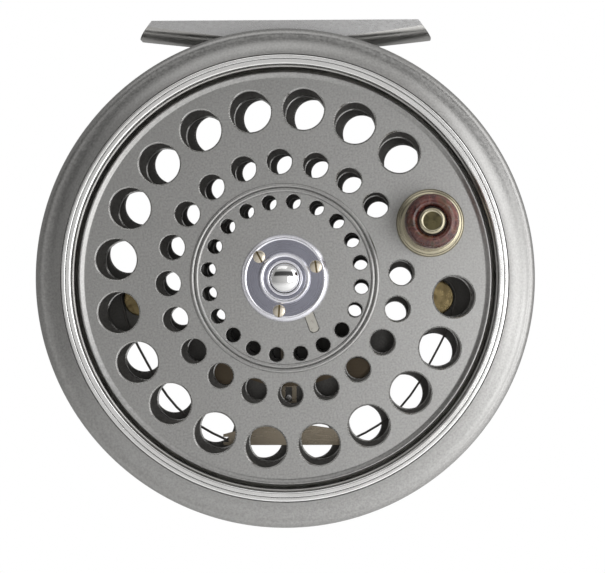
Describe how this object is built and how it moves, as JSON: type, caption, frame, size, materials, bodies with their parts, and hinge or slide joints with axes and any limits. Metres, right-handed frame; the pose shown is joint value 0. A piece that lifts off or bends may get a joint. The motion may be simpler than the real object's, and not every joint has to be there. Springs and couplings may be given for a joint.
{
  "type": "fly reel",
  "caption": "Single-action fly reel: perforated spool in a round caged frame, with a click check, a marbled handle and a dished foot for the rod's reel seat.",
  "frame": {"origin": "middle of the foot's dished saddle, on the face that bears on the rod's reel seat", "axes": "+Z out of the saddle towards the rod, +X along the foot, +Y from the winding face to the back, along the spool's axis"},
  "size_m": [0.0984, 0.0512, 0.1007],
  "materials": {
    "satin_aluminium": "bead-blasted satin",
    "foot_metal": "fine satin with polished ramps",
    "polished_steel": "polished",
    "nickel_screws": "turned, warm nickel",
    "brass": "machined",
    "pale_brass": "polished",
    "cover_metal": "polished",
    "spring_steel": "blued",
    "marbled_grip": "polished marbled resin"
  },
  "bodies": {
    "frame": {"frame_ring": "satin_aluminium", "back_plate": "satin_aluminium", "pillar_1": "satin_aluminium", "pillar_2": "satin_aluminium", "pillar_3": "satin_aluminium", "pillar_4": "satin_aluminium", "pillar_5": "satin_aluminium", "foot_bridge": "satin_aluminium", "bridge_dowel_left": "polished_steel", "bridge_dowel_right": "polished_steel", "pillar_screw_1": "nickel_screws", "pillar_screw_2": "nickel_screws", "pillar_screw_3": "nickel_screws", "pillar_screw_4": "nickel_screws", "pillar_screw_5": "nickel_screws", "bridge_screw_left": "nickel_screws", "bridge_screw_right": "nickel_screws", "reel_foot": "foot_metal", "foot_screw_left": "nickel_screws", "foot_screw_right": "nickel_screws", "spindle": "polished_steel", "spindle_washer": "nickel_screws", "spindle_nut": "nickel_screws", "check_bridge": "brass", "check_bridge_screw_left": "nickel_screws", "check_bridge_screw_right": "nickel_screws", "spring_anchor": "brass", "spring_anchor_screw": "nickel_screws", "pawl_guide_pin": "polished_steel", "check_spring_left": "spring_steel", "check_spring_right": "spring_steel"},
    "spool": {"spool_front_plate": "satin_aluminium", "spool_drum": "satin_aluminium", "spool_rear_plate": "satin_aluminium", "spool_hub": "satin_aluminium", "front_bush": "brass", "rear_bush": "brass", "check_gear": "brass", "gear_screw_1": "nickel_screws", "gear_screw_2": "nickel_screws", "gear_screw_3": "nickel_screws", "latch_cover": "cover_metal", "cover_screw_1": "nickel_screws", "cover_screw_2": "nickel_screws", "cover_screw_3": "nickel_screws", "latch_spring": "spring_steel", "handle_base": "pale_brass", "handle_post": "pale_brass", "handle_screw": "pale_brass"},
    "grip": {"handle_grip": "marbled_grip"},
    "latch": {"latch_plate": "foot_metal"},
    "pawl": {"check_pawl": "brass"},
    "regulator": {"regulator_shaft": "brass", "regulator_knob": "satin_aluminium", "regulator_screw": "nickel_screws"}
  },
  "joints": [
    {"name": "spool_spin", "type": "hinge", "parent": "frame", "child": "spool", "pos_m": [0, 0, -0.04977], "axis": [0, -1, 0], "continuous": true},
    {"name": "grip_spin", "type": "hinge", "parent": "spool", "child": "grip", "pos_m": [0.02866, -0.0138, -0.03906], "axis": [0, -1, 0], "continuous": true},
    {"name": "latch_slide", "type": "slide", "parent": "spool", "child": "latch", "axis": [-0.342, 0, 0.9397], "range_m": [0, 0.0006], "stiffness_N_per_m": 300, "springref_m": -0.001, "deforming": ["latch_spring"]},
    {"name": "check_pawl_slide", "type": "slide", "parent": "frame", "child": "pawl", "axis": [0, 0, -1], "range_m": [0, 0.0014], "stiffness_N_per_m": 1500, "springref_m": -0.001, "deforming": ["check_spring_left", "check_spring_right"]},
    {"name": "regulator_turn", "type": "hinge", "parent": "frame", "child": "regulator", "pos_m": [0.03025, 0, -0.05367], "axis": [0, 1, 0], "range_deg": [0, 90]}
  ]
}
